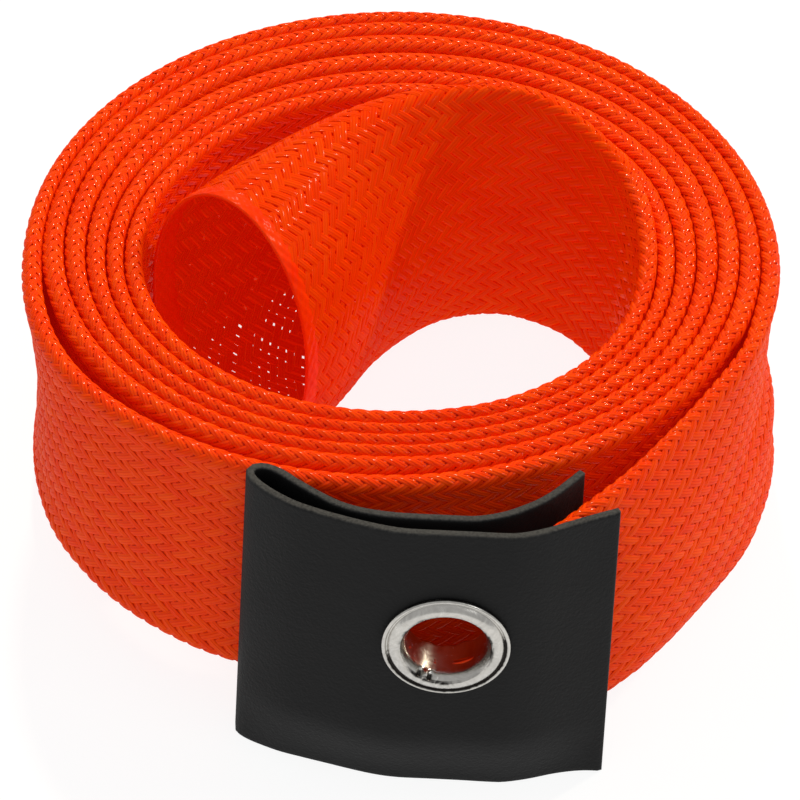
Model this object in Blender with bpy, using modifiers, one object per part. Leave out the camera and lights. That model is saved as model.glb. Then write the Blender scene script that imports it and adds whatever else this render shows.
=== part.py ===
"""Braided sleeve for a fishing rod, rolled on edge into a flat coil.

One braided tube of flat plastic yarn is pressed flat and wound into just over six turns. Its outer
end is held between the two flaps of a folded black tag by an eyelet. Its inner end leaves the last
turn and opens into a round mouth with a turned-in hem.

Lengths are millimetres in the coil's own frame: X to the right of the tag, Y from the tag through
the coil's axis, Z up along that axis, and Z = 0 at the sleeve's lower edge. The tag is longer than
the sleeve is wide, so the coil leans back on it and the whole frame is tilted.
"""

import math

import bmesh
import bpy
import numpy as np
from mathutils import Matrix, Vector

MM = 0.001

# The coil leans back by this angle, its front edge up on the tag, with its back edge on the floor.
LEAN_DEG = 5.4
FRAME_AT = (0.25, 1.213, 5.05)

# Radius of each turn's outer face, every 30 degrees anticlockwise from the tag at the front.
TURN_RADII = (
    (59.0, 56.0, 52.0, 52.0, 53.0, 54.4, 54.5, 53.5, 52.5, 52.5, 53.8, 51.2),
    (48.7, 47.5, 47.5, 49.0, 50.8, 52.0, 52.1, 51.2, 50.2, 49.6, 48.6, 46.8),
    (44.5, 44.0, 45.0, 46.0, 48.0, 49.0, 48.5, 47.8, 46.8, 46.5, 46.2, 44.6),
    (42.3, 41.8, 42.4, 43.0, 44.8, 45.2, 44.2, 43.6, 43.2, 43.5, 43.7, 42.4),
    (40.1, 39.7, 39.8, 40.0, 41.4, 41.3, 40.1, 39.7, 39.8, 40.8, 41.3, 40.1),
    (38.0, 37.6, 37.4, 37.2, 38.4, 38.4, 37.2, 36.6, 37.0, 38.4, 38.8, 37.6),
    (35.9, 35.5, 35.2, 34.9, 35.6, 35.4),
)
RADII_EVERY_DEG = 30.0
FRONT_DEG = 270.0
BAND_HEIGHT = 36.0
# Section of the flattened tube: distance from its middle, and height.
BAND_SECTION = (
    (0.0, 0.0), (0.5, 0.25), (0.9, 1.5), (0.9, 34.5), (0.5, 35.75),
    (0.0, 36.0), (-0.5, 35.75), (-0.9, 34.5), (-0.9, 1.5), (-0.5, 0.25),
)
BAND_HALF_THICK = 0.9
COIL_FROM_DEG = 72.0
COIL_TO_DEG = 2295.0
COIL_STEP_DEG = 9.0
# The last sixth of a turn grows taller towards the mouth.
WIDEN_FROM_DEG = 2232.0
WIDEN_BY = 0.12

# Stations along the sleeve's outer end, from the coil into the tag: x, y, low edge, high edge,
# half thickness, bow of its middle away from the coil, and the high edge's shift in x and y.
TAIL_STATIONS = (
    (48.35, -16.15, 0.0, 36.0, 1.0, 0.0, 0.0, 0.0),
    (45.3, -22.4, 0.0, 36.0, 1.6, 0.5, 0.0, 0.0),
    (40.4, -30.6, 0.0, 36.0, 2.1, 1.0, 0.0, 0.0),
    (36.0, -37.4, 0.0, 36.0, 2.3, 1.2, 0.0, 0.0),
    (31.7, -43.6, 0.0, 36.0, 2.2, 1.0, 0.0, 0.0),
    (27.2, -49.2, 0.0, 36.0, 1.6, 0.6, 0.0, 0.0),
    (22.6, -53.8, 0.3, 35.7, 1.0, 0.2, 0.0, 0.0),
    (18.4, -56.7, 0.8, 35.0, 0.7, 0.0, 0.0, 0.0),
    (14.4, -58.1, 1.2, 34.4, 0.55, 0.0, 0.0, 0.0),
    (10.0, -58.15, 1.6, 33.8, 0.55, 0.0, 0.0, 0.0),
    (6.0, -58.15, 2.0, 33.2, 0.55, 0.0, 0.0, 0.0),
    (2.0, -58.15, 2.3, 32.6, 0.55, 0.0, 0.0, 0.0),
    (-1.4, -58.05, 2.6, 32.0, 0.5, 0.0, 0.0, 0.0),
)
# Stations along the inner end, from the last turn to the rim of the mouth, in the same columns.
MOUTH_STATIONS = (
    (24.2, 24.7, 0.0, 40.3, 1.1, 0.0, 0.0, 0.0),
    (20.4, 27.0, 0.0, 41.6, 1.4, 0.0, 0.0, 0.0),
    (14.6, 28.4, 0.0, 42.6, 2.3, 0.0, 0.0, 0.0),
    (6.2, 27.2, 0.0, 43.0, 4.1, 0.0, -0.7, 0.6),
    (-1.7, 22.7, 0.0, 43.5, 6.5, 0.0, -2.3, 1.4),
    (-9.0, 15.5, 0.0, 44.0, 9.2, 0.0, -2.7, 2.4),
    (-14.4, 8.6, 0.0, 44.0, 12.0, 0.0, -2.7, 3.0),
    (-18.6, 3.4, 0.0, 44.0, 14.0, 0.0, -2.6, 1.8),
    (-23.9, -3.1, 0.0, 44.3, 14.7, 0.0, 0.0, 1.4),
)
STEPS_PER_STATION = 3
FLAT_SQUARENESS = 4.0
ROUND_SQUARENESS = 2.0
SECTION_POINTS = 28
MOUTH_WALL = 1.0
MOUTH_HOLLOW_FROM = 7
HEM_GAP = 0.3
HEM_WALL = 0.8
HEM_ROWS = 2
PAST_RIM = 2.0

# The tag's middle surface in plan: front flap from its free edge to the fold, then the rear flap.
TAG_PATH = (
    (29.6, -53.8), (26.4, -55.2), (23.0, -56.8), (19.6, -58.4), (16.4, -59.4), (14.0, -59.6),
    (10.0, -59.6), (6.0, -59.6), (2.0, -59.6), (-1.0, -59.3), (-4.2, -58.6), (-7.4, -57.7),
    (-10.8, -56.6), (-14.2, -55.2), (-17.3, -53.2), (-19.4, -51.3), (-20.2, -49.8),
    (-19.6, -48.7), (-18.1, -48.5), (-16.1, -49.4), (-13.8, -51.2), (-11.0, -53.2),
    (-8.2, -54.9), (-5.0, -56.0), (-1.0, -56.6), (2.0, -56.7), (6.0, -56.7), (10.0, -56.7),
    (13.6, -56.7), (15.8, -56.1), (18.2, -54.4), (20.4, -52.0), (22.6, -49.2), (24.6, -46.8),
)
TAG_THICK = 1.2
TAG_LOW = -13.0
TAG_HIGH = 38.0
# Below TUCK_FROM_Z both flaps are drawn in towards the coil, most at the middle of the lower edge.
TUCK_IN = 2.9
TUCK_FROM_Z = 1.5
TUCK_TO_Z = -11.0
TUCK_MIDDLE_X = 4.8
TUCK_REACH_X = 24.8
TUCK_ROWS = (1.5, -1.0, -3.5, -6.0, -8.5, -11.0)

# Centre of the eyelet on the tag's front face, and the bore that the tag and sleeve give it.
EYELET_AT = (7.9, -60.2, 18.3)
EYELET_HOLE_R = 5.6
# Turned sections: radius, and height above the tag's front face.
BARREL_SECTION = (
    (7.7, 1.0), (8.2, 0.85), (8.5, 0.55), (8.5, 0.3), (5.3, 0.3), (5.3, -5.1), (6.3, -5.1),
    (6.5, -5.35), (6.2, -5.65), (5.6, -5.8), (5.1, -5.6), (4.95, -5.1), (4.95, 0.5),
    (5.1, 0.95), (5.5, 1.15), (5.9, 1.0), (6.3, 0.7), (6.6, 0.7), (7.1, 1.0),
)
WASHER_SECTION = ((7.0, -4.4), (7.2, -4.6), (7.0, -4.8), (5.6, -4.8), (5.6, -4.4))
RING_STEPS = 40

# Where the sleeve bends when its tail is peeled away, and when its mouth is pushed inwards.
TAIL_HINGE_AT = (49.45, -16.1, 18.0)
MOUTH_HINGE_AT = (23.8, 23.8, 18.0)


def clear_scene():
    for obj in list(bpy.data.objects):
        bpy.data.objects.remove(obj, do_unlink=True)


def add_collection(name):
    collection = bpy.data.collections.new(name)
    bpy.context.scene.collection.children.link(collection)
    return collection


def add_material(name, color, roughness, metallic):
    material = bpy.data.materials.new(name)
    material.use_nodes = True
    shader = material.node_tree.nodes["Principled BSDF"]
    shader.inputs["Base Color"].default_value = (*color, 1.0)
    shader.inputs["Roughness"].default_value = roughness
    shader.inputs["Metallic"].default_value = metallic
    return material


def braid_material():
    return add_material("orange_braid", (0.85, 0.06, 0.005), 0.4, 0.0)


def hem_material():
    return add_material("orange_hem", (0.75, 0.04, 0.004), 0.45, 0.0)


def tag_material():
    return add_material("black_tag", (0.02, 0.02, 0.021), 0.7, 0.0)


def eyelet_material():
    return add_material("nickel", (0.72, 0.7, 0.67), 0.25, 1.0)


def curve_through(points, steps):
    """Points on a smooth curve through the given ones, with this many steps between neighbours."""
    rows = np.asarray(points, float)
    ends = np.vstack([2 * rows[0] - rows[1], rows, 2 * rows[-1] - rows[-2]])
    found = []
    for a, b, c, d in zip(ends, ends[1:], ends[2:], ends[3:]):
        for step in range(steps):
            u = step / steps
            bend = (2 * a - 5 * b + 4 * c - d) * u + (3 * b - a - 3 * c + d) * u * u
            found.append(b + 0.5 * u * (c - a + bend))
    return np.vstack([found, rows[-1]])


def turn_radius(degrees):
    """Outer face's radius at an angle wound on from the tag."""
    radii = np.concatenate(TURN_RADII)[:, None]
    steps = 10
    fine = curve_through(radii, steps)[:, 0]
    return np.interp(degrees, np.arange(len(fine)) * RADII_EVERY_DEG / steps, fine)


def add_curve(name, points, closed, collection):
    """An unbevelled POLY curve through points in millimetres."""
    data = bpy.data.curves.new(name, "CURVE")
    data.dimensions = "3D"
    spline = data.splines.new("POLY")
    spline.points.add(len(points) - 1)
    for point, at in zip(spline.points, points):
        point.co = (*(Vector(at) * MM), 1.0)
    spline.use_cyclic_u = closed
    obj = bpy.data.objects.new(name, data)
    collection.objects.link(obj)
    return obj


def add_mesh(name, verts, faces, collection):
    """A mesh from points in millimetres, with its faces turned outwards."""
    mesh = bpy.data.meshes.new(name)
    mesh.from_pydata([Vector(v) * MM for v in verts], [], faces)
    shape = bmesh.new()
    shape.from_mesh(mesh)
    bmesh.ops.recalc_face_normals(shape, faces=shape.faces)
    shape.to_mesh(mesh)
    shape.free()
    obj = bpy.data.objects.new(name, mesh)
    collection.objects.link(obj)
    return obj


def mesh_from_curve(obj, name, collection):
    """The curve's own surface as a mesh object. The curve goes."""
    bpy.context.view_layer.update()
    graph = bpy.context.evaluated_depsgraph_get()
    mesh = bpy.data.meshes.new_from_object(obj.evaluated_get(graph))
    shape = bmesh.new()
    shape.from_mesh(mesh)
    bmesh.ops.remove_doubles(shape, verts=shape.verts, dist=0.01 * MM)
    bmesh.ops.recalc_face_normals(shape, faces=shape.faces)
    shape.to_mesh(mesh)
    shape.free()
    bpy.data.objects.remove(obj, do_unlink=True)
    made = bpy.data.objects.new(name, mesh)
    collection.objects.link(made)
    return made


def finish(obj, material, parent):
    """Gives a piece its material and smooth faces, and hangs it on its parent in the coil's frame."""
    obj.data.materials.append(material)
    obj.data.polygons.foreach_set("use_smooth", [True] * len(obj.data.polygons))
    obj.data.set_sharp_from_angle(angle=math.radians(40))
    hang(obj, parent)


def hang(obj, parent):
    """Parents an object whose points are in the coil's frame to the frame or to a hinge on it."""
    obj.parent = parent
    if parent.parent:
        obj.matrix_parent_inverse = Matrix.Translation(-parent.location)


def cut(obj, cutter, name):
    modifier = obj.modifiers.new(name, "BOOLEAN")
    modifier.operation = "DIFFERENCE"
    modifier.solver = "EXACT"
    modifier.object = cutter
    cutter.hide_render = True
    cutter.display_type = "WIRE"


def across(stations):
    """Level unit vectors square to the path, on its left."""
    along = np.gradient(stations[:, :2], axis=0)
    along /= np.linalg.norm(along, axis=1)[:, None]
    return np.column_stack([-along[:, 1], along[:, 0]])


def section(station, side, inset, squareness):
    """Points round one section of the sleeve, drawn in from its skin by the inset."""
    x, y, low, high, half, bow, top_x, top_y = station
    half = max(half - inset, 0.2)
    tall = (high - low) / 2 - inset
    points = []
    for step in range(SECTION_POINTS):
        turn = 2 * math.pi * step / SECTION_POINTS
        out = math.copysign(abs(math.sin(turn)) ** (2 / squareness), math.sin(turn))
        up = math.copysign(abs(math.cos(turn)) ** (2 / squareness), math.cos(turn))
        push = half * out + bow * (1 - up * up)
        points.append(
            (
                x + side[0] * push + top_x / 2 * up,
                y + side[1] * push + top_y / 2 * up,
                (low + high) / 2 + tall * up,
            )
        )
    return points


def add_loft(name, stations, sides, inset, squareness, collection):
    """A solid skinned over the sleeve's sections at these stations, with a cap at each end."""
    count = SECTION_POINTS
    verts = []
    faces = []
    for row, (station, side) in enumerate(zip(stations, sides)):
        verts += section(station, side, inset, squareness)
        for step in range(count):
            if row:
                here = row * count + step
                beside = row * count + (step + 1) % count
                faces.append((here - count, beside - count, beside, here))
    faces.append(tuple(reversed(range(count))))
    faces.append(tuple(range(len(verts) - count, len(verts))))
    return add_mesh(name, verts, faces, collection)


def run_on(stations, sides, by):
    """The stations with one more past the last, the given distance further on."""
    step = stations[-1, :2] - stations[-2, :2]
    more = stations[-1].copy()
    more[:2] += step / np.linalg.norm(step) * by
    return np.vstack([stations, more]), np.vstack([sides, sides[-1]])


def add_hinge(name, at, frame, collection):
    hinge = bpy.data.objects.new(name, None)
    collection.objects.link(hinge)
    hinge.parent = frame
    hinge.location = Vector(at) * MM
    return hinge


def sleeve_coil(frame, collection, helpers):
    """Six flat turns on edge: the band's section swept along the spiral."""
    turned = np.arange(COIL_FROM_DEG, COIL_TO_DEG + 0.1, COIL_STEP_DEG)
    radius = turn_radius(turned) - BAND_HALF_THICK
    angle = np.radians(turned + FRONT_DEG)
    points = np.column_stack([radius * np.cos(angle), radius * np.sin(angle), 0 * angle])
    profile = add_curve("band_section", [(x, y, 0) for x, y in BAND_SECTION], True, helpers)
    profile.hide_render = True
    spiral = add_curve("spiral", points, False, helpers)
    for point, at in zip(spiral.data.splines[0].points, turned):
        share = (at - WIDEN_FROM_DEG) / (COIL_TO_DEG - WIDEN_FROM_DEG)
        point.radius = 1 + WIDEN_BY * max(share, 0.0)
    spiral.data.twist_mode = "Z_UP"
    spiral.data.bevel_mode = "OBJECT"
    spiral.data.bevel_object = profile
    spiral.data.use_fill_caps = True
    coil = mesh_from_curve(spiral, "sleeve_coil", collection)
    finish(coil, braid_material(), frame)


def sleeve_tail(hinge, collection, helpers):
    """The outer end, bowed off the coil and pinched flat between the tag's flaps."""
    stations = curve_through(TAIL_STATIONS, STEPS_PER_STATION)
    tail = add_loft("sleeve_tail", stations, across(stations), 0.0, FLAT_SQUARENESS, collection)
    finish(tail, braid_material(), hinge)
    bore = eyelet_bore("sleeve_bore", -62.0, -54.0, hinge, helpers)
    cut(tail, bore, "eyelet hole")


def sleeve_mouth(hinge, collection, helpers):
    """The inner end, opening from the flat band to a round mouth, hollow behind its rim."""
    stations = curve_through(MOUTH_STATIONS, STEPS_PER_STATION)
    sides = across(stations)
    mouth = add_loft("sleeve_mouth", stations, sides, 0.0, ROUND_SQUARENESS, collection)
    finish(mouth, braid_material(), hinge)
    inner, inner_sides = run_on(
        stations[MOUTH_HOLLOW_FROM:], sides[MOUTH_HOLLOW_FROM:], PAST_RIM
    )
    hollow = add_loft(
        "mouth_hollow", inner, inner_sides, MOUTH_WALL, ROUND_SQUARENESS, helpers
    )
    hang(hollow, hinge)
    cut(mouth, hollow, "hollow")


def mouth_hem(hinge, collection, helpers):
    """The sleeve's end turned back into the mouth, a second layer inside the wall."""
    stations = curve_through(MOUTH_STATIONS, STEPS_PER_STATION)
    sides = across(stations)
    rows = slice(len(stations) - HEM_ROWS, None)
    outside = MOUTH_WALL + HEM_GAP
    hem = add_loft("mouth_hem", stations[rows], sides[rows], outside, ROUND_SQUARENESS, collection)
    finish(hem, hem_material(), hinge)
    longer = slice(len(stations) - HEM_ROWS - 1, None)
    inner, inner_sides = run_on(stations[longer], sides[longer], PAST_RIM)
    hollow = add_loft(
        "hem_hollow", inner, inner_sides, outside + HEM_WALL, ROUND_SQUARENESS, helpers
    )
    hang(hollow, hinge)
    cut(hem, hollow, "hollow")


def eyelet_bore(name, near_y, far_y, hinge, helpers):
    """A cutter for the eyelet's hole between two distances from the coil's axis."""
    bpy.ops.mesh.primitive_cylinder_add(
        vertices=RING_STEPS, radius=EYELET_HOLE_R * MM, depth=(far_y - near_y) * MM
    )
    bore = bpy.context.object
    bore.name = name
    middle = Vector((EYELET_AT[0], (near_y + far_y) / 2, EYELET_AT[2])) * MM
    bore.data.transform(Matrix.Translation(middle) @ Matrix.Rotation(math.pi / 2, 4, "X"))
    for collection in list(bore.users_collection):
        collection.objects.unlink(bore)
    helpers.objects.link(bore)
    hang(bore, hinge)
    return bore


def floor_cutter(helpers):
    """A block under the floor, which the coil's lean makes a slope in the coil's frame."""
    bpy.ops.mesh.primitive_cube_add(size=1)
    block = bpy.context.object
    block.name = "floor_block"
    block.data.transform(Matrix.Diagonal((200 * MM, 200 * MM, 40 * MM, 1.0)))
    block.data.transform(Matrix.Translation((0, 0, -20 * MM)))
    for collection in list(block.users_collection):
        collection.objects.unlink(block)
    helpers.objects.link(block)
    return block


def tuck(x, z):
    """How far the tag is drawn in towards the coil at a place on it."""
    across = min(abs(x - TUCK_MIDDLE_X) / TUCK_REACH_X, 1.0)
    share = min(max((TUCK_FROM_Z - z) / (TUCK_FROM_Z - TUCK_TO_Z), 0.0), 1.0)
    return TUCK_IN * (1 - across**4) * share * share * (3 - 2 * share)


def end_tag(hinge, collection, helpers):
    """One black strip folded round the sleeve's end, cut off level with the floor."""
    plan = curve_through(TAG_PATH, 2)
    ribbon = add_curve("tag_plan", [(x, y, 0) for x, y in plan], False, helpers)
    ribbon.data.dimensions = "2D"
    ribbon.data.fill_mode = "NONE"
    ribbon.data.extrude = (TAG_HIGH - TAG_LOW) / 2 * MM
    tag = mesh_from_curve(ribbon, "end_tag", collection)
    tag.data.transform(Matrix.Translation((0, 0, (TAG_HIGH + TAG_LOW) / 2 * MM)))
    shape = bmesh.new()
    shape.from_mesh(tag.data)
    for height in TUCK_ROWS:
        pieces = shape.verts[:] + shape.edges[:] + shape.faces[:]
        bmesh.ops.bisect_plane(shape, geom=pieces, plane_co=(0, 0, height * MM), plane_no=(0, 0, 1))
    for vertex in shape.verts:
        vertex.co.y += tuck(vertex.co.x / MM, vertex.co.z / MM) * MM
    shape.to_mesh(tag.data)
    shape.free()
    finish(tag, tag_material(), hinge)
    skin = tag.modifiers.new("thickness", "SOLIDIFY")
    skin.thickness = TAG_THICK * MM
    skin.offset = 0.0
    skin.use_even_offset = True
    cut(tag, eyelet_bore("tag_bore", -64.0, -53.0, hinge, helpers), "eyelet hole")
    cut(tag, floor_cutter(helpers), "floor")


def turned(name, outline, material, hinge, collection):
    """A ring turned about the eyelet's axis, which points away from the coil."""
    rows = [(radius, 0.0, height) for radius, height in outline]
    count = len(rows)
    mesh = bpy.data.meshes.new(name)
    mesh.from_pydata(
        [Vector(row) * MM for row in rows], [(i, (i + 1) % count) for i in range(count)], []
    )
    ring = bpy.data.objects.new(name, mesh)
    collection.objects.link(ring)
    ring.data.materials.append(material)
    ring.rotation_euler = (math.pi / 2, 0.0, 0.0)
    ring.location = Vector(EYELET_AT) * MM
    hang(ring, hinge)
    screw = ring.modifiers.new("turn", "SCREW")
    screw.steps = RING_STEPS
    screw.render_steps = RING_STEPS
    screw.use_merge_vertices = True
    screw.merge_threshold = 0.00001
    screw.use_smooth_shade = True
    return ring


def eyelet_barrel(hinge, collection):
    turned("eyelet_barrel", BARREL_SECTION, eyelet_material(), hinge, collection)


def eyelet_washer(hinge, collection):
    turned("eyelet_washer", WASHER_SECTION, eyelet_material(), hinge, collection)


def main():
    clear_scene()
    collection = add_collection("braided_rod_sleeve")
    helpers = add_collection("cutters_and_guides")
    frame = bpy.data.objects.new("coil_frame", None)
    collection.objects.link(frame)
    frame.location = Vector(FRAME_AT) * MM
    frame.rotation_euler = (math.radians(-LEAN_DEG), 0.0, 0.0)
    tail_hinge = add_hinge("tail_hinge", TAIL_HINGE_AT, frame, collection)
    mouth_hinge = add_hinge("mouth_hinge", MOUTH_HINGE_AT, frame, collection)
    sleeve_coil(frame, collection, helpers)
    sleeve_tail(tail_hinge, collection, helpers)
    sleeve_mouth(mouth_hinge, collection, helpers)
    mouth_hem(mouth_hinge, collection, helpers)
    end_tag(tail_hinge, collection, helpers)
    eyelet_barrel(tail_hinge, collection)
    eyelet_washer(tail_hinge, collection)


main()
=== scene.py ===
"""Looks of the coiled rod sleeve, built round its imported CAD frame.

The sleeve is braided here yarn by yarn. One grid of points covers the whole flattened tube from
its pinched outer end, through six turns, to the rim of its mouth. Two families of flat yarns cross
on it, over two and under two. Lengths are millimetres in the coil's own frame, as in the CAD: X to
the right of the tag, Y through the coil's axis, Z up along it. ROW turns them into the row frame.
"""
import math

import bmesh
import bpy
import numpy as np
from mathutils import Matrix, Vector


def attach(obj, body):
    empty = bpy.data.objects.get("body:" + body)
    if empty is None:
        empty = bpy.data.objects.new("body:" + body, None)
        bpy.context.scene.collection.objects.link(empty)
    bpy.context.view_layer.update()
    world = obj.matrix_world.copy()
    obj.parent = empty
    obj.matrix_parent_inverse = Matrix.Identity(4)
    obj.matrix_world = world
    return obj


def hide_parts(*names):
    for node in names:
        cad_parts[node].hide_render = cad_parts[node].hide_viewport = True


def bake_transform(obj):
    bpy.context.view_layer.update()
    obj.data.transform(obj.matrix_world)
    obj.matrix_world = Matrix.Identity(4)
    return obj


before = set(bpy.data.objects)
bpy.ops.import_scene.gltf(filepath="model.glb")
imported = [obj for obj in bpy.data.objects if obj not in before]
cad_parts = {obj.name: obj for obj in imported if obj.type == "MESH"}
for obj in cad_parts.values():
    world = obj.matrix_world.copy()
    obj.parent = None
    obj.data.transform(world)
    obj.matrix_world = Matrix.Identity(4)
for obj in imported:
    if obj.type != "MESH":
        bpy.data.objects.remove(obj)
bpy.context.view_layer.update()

MM = 0.001
LEAN_DEG = 5.4
FRAME_AT = (0.25, 1.213, 5.05)
ROW = Matrix.Translation(Vector(FRAME_AT) * MM) @ Matrix.Rotation(math.radians(-LEAN_DEG), 4, "X")

# The sleeve's path and sections, as in the CAD.
TURN_RADII = (
    (59.0, 56.0, 52.0, 52.0, 53.0, 54.4, 54.5, 53.5, 52.5, 52.5, 53.8, 51.2),
    (48.7, 47.5, 47.5, 49.0, 50.8, 52.0, 52.1, 51.2, 50.2, 49.6, 48.6, 46.8),
    (44.5, 44.0, 45.0, 46.0, 48.0, 49.0, 48.5, 47.8, 46.8, 46.5, 46.2, 44.6),
    (42.3, 41.8, 42.4, 43.0, 44.8, 45.2, 44.2, 43.6, 43.2, 43.5, 43.7, 42.4),
    (40.1, 39.7, 39.8, 40.0, 41.4, 41.3, 40.1, 39.7, 39.8, 40.8, 41.3, 40.1),
    (38.0, 37.6, 37.4, 37.2, 38.4, 38.4, 37.2, 36.6, 37.0, 38.4, 38.8, 37.6),
    (35.9, 35.5, 35.2, 34.9, 35.6, 35.4),
)
RADII_EVERY_DEG = 30.0
FRONT_DEG = 270.0
BAND_HEIGHT = 36.0
BAND_HALF_THICK = 0.9
COIL_FROM_DEG = 72.0
COIL_TO_DEG = 2295.0
WIDEN_FROM_DEG = 2232.0
WIDEN_BY = 0.12
TAIL_STATIONS = (
    (48.35, -16.15, 0.0, 36.0, 1.0, 0.0, 0.0, 0.0),
    (45.3, -22.4, 0.0, 36.0, 1.6, 0.5, 0.0, 0.0),
    (40.4, -30.6, 0.0, 36.0, 2.1, 1.0, 0.0, 0.0),
    (36.0, -37.4, 0.0, 36.0, 2.3, 1.2, 0.0, 0.0),
    (31.7, -43.6, 0.0, 36.0, 2.2, 1.0, 0.0, 0.0),
    (27.2, -49.2, 0.0, 36.0, 1.6, 0.6, 0.0, 0.0),
    (22.6, -53.8, 0.3, 35.7, 1.0, 0.2, 0.0, 0.0),
    (18.4, -56.7, 0.8, 35.0, 0.7, 0.0, 0.0, 0.0),
    (14.4, -58.1, 1.2, 34.4, 0.55, 0.0, 0.0, 0.0),
    (10.0, -58.15, 1.6, 33.8, 0.55, 0.0, 0.0, 0.0),
    (6.0, -58.15, 2.0, 33.2, 0.55, 0.0, 0.0, 0.0),
    (2.0, -58.15, 2.3, 32.6, 0.55, 0.0, 0.0, 0.0),
    (-1.4, -58.05, 2.6, 32.0, 0.5, 0.0, 0.0, 0.0),
)
MOUTH_STATIONS = (
    (24.2, 24.7, 0.0, 40.3, 1.1, 0.0, 0.0, 0.0),
    (20.4, 27.0, 0.0, 41.6, 1.4, 0.0, 0.0, 0.0),
    (14.6, 28.4, 0.0, 42.6, 2.3, 0.0, 0.0, 0.0),
    (6.2, 27.2, 0.0, 43.0, 4.1, 0.0, -0.7, 0.6),
    (-1.7, 22.7, 0.0, 43.5, 6.5, 0.0, -2.3, 1.4),
    (-9.0, 15.5, 0.0, 44.0, 9.2, 0.0, -2.7, 2.4),
    (-14.4, 8.6, 0.0, 44.0, 12.0, 0.0, -2.7, 3.0),
    (-18.6, 3.4, 0.0, 44.0, 14.0, 0.0, -2.6, 1.8),
    (-23.9, -3.1, 0.0, 44.3, 14.7, 0.0, 0.0, 1.4),
)
TAG_PATH = (
    (29.6, -53.8), (26.4, -55.2), (23.0, -56.8), (19.6, -58.4), (16.4, -59.4), (14.0, -59.6),
    (10.0, -59.6), (6.0, -59.6), (2.0, -59.6), (-1.0, -59.3), (-4.2, -58.6), (-7.4, -57.7),
    (-10.8, -56.6), (-14.2, -55.2), (-17.3, -53.2), (-19.4, -51.3), (-20.2, -49.8),
    (-19.6, -48.7), (-18.1, -48.5), (-16.1, -49.4), (-13.8, -51.2), (-11.0, -53.2),
    (-8.2, -54.9), (-5.0, -56.0), (-1.0, -56.6), (2.0, -56.7), (6.0, -56.7), (10.0, -56.7),
    (13.6, -56.7), (15.8, -56.1), (18.2, -54.4), (20.4, -52.0), (22.6, -49.2), (24.6, -46.8),
)
TAG_THICK = 1.2
TAG_LOW = -13.0
TAG_HIGH = 38.0
TUCK_IN = 2.9
TUCK_FROM_Z = 1.5
TUCK_TO_Z = -11.0
TUCK_MIDDLE_X = 4.8
TUCK_REACH_X = 24.8
EYELET_AT = (7.9, -60.2, 18.3)
EYELET_HOLE_R = 5.6

# The braid: yarns each way round the tube, and the lozenge that four of them enclose.
YARNS = 48
LOZENGE = 2.86
YARN_THICK = 0.2
YARN_SWING = 0.1
YARN_FILL = 0.97
# Where the tube is stretched open its yarns lie flatter and further apart, most of all low down.
FILL_AT_MOUTH = 0.96
FILL_LOW_AT_MOUTH = 0.89
STRAY_AT_MOUTH = 0.09
RELIEF_AT_MOUTH = 0.55
# How far round the tube is where it starts to open, and where it is fully open.
OPENED_ROUND = (76.0, 105.0)
# Up to the first height over the lower fold a place is low down, and past the second it isn't.
LOW_OVER_FOLD = (5.0, 17.0)
STEPS_PER_LOZENGE = 4
# A yarn lies level on its crossings and dips quickly between them.
WAVE_STEEP = 1.35
STRAY_SEED = 21
TINT_SEED = 7
WALL = YARN_SWING + YARN_THICK / 2

ROW_STEP = 1.5
COLUMNS = 360
FOLD_ROUND = 1.1
FOLD_PINCH = 0.28
FOLD_PINCHED_AT = 5.0
# Each fold swells until it nearly touches the turns beside it.
BEAD_GAP = 0.03
BEAD_FREE_OUT = 1.0
BEAD_FREE_IN = 1.2
BEAD_LEAST = 0.55
BEAD_MOST = 1.5
BEAD_ROUND_TO = 1.0
BEAD_DEEP = 6.5
OUTERMOST_TO = 432.0
INNERMOST_FROM = 1935.0
# The folds start to swell between the first pair of wound angles and stop between the second.
BEADS_START = (60.0, 84.0)
BEADS_END = (2265.0, 2300.0)
# Half the sleeve's thickness where a flat band starts to round out, and where it is a tube.
TUBE_HALF = (0.8, 2.2)
HALF_LEAST = 0.2
RING_POINTS = 721
# How far the outermost turn stands out, by angle wound on, at these shares of its height.
LEAN_SHARES = (0.0, 0.28, 0.5, 1.0)
OUTERMOST_LEAN = (
    (-13, 0.0, 0.0, 0.0, 0.0), (-1, 0.4, 0.3, 0.1, 0.0), (11, 1.6, 1.0, 0.5, -0.1),
    (23, 2.5, 1.6, 0.9, -0.2), (35, 2.7, 1.8, 0.9, -0.3), (47, 2.6, 1.9, 0.7, -0.3),
    (59, 2.4, 1.9, 0.5, -0.2), (72, 2.3, 1.9, 0.2, -0.1), (90, 2.2, 1.9, -0.3, 0.0),
    (110, 1.2, 1.0, 0.0, 0.0), (140, 0.3, 0.2, 0.1, 0.1), (160, 0.0, 0.0, 0.1, 0.1),
    (180, 0.0, 0.0, 0.0, 0.0), (240, -0.5, -0.6, -0.8, -0.1), (270, -0.9, -1.3, -1.8, -0.1),
    (290, -1.2, -1.2, -1.2, -0.1), (305, -0.9, -0.6, -0.5, 0.0), (318, 0.1, 0.0, 0.0, 0.0),
    (330, 0.9, 0.6, 0.3, 0.0), (345, 1.2, 0.8, 0.3, 0.0), (360, 0.6, 0.4, 0.2, 0.0),
    (400, 0.0, 0.0, 0.0, 0.0),
)


def smoothstep(low, high, value):
    """0 below the low value, 1 above the high one, and a soft S between."""
    share = np.clip((value - low) / (high - low), 0.0, 1.0)
    return share * share * (3 - 2 * share)


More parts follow.
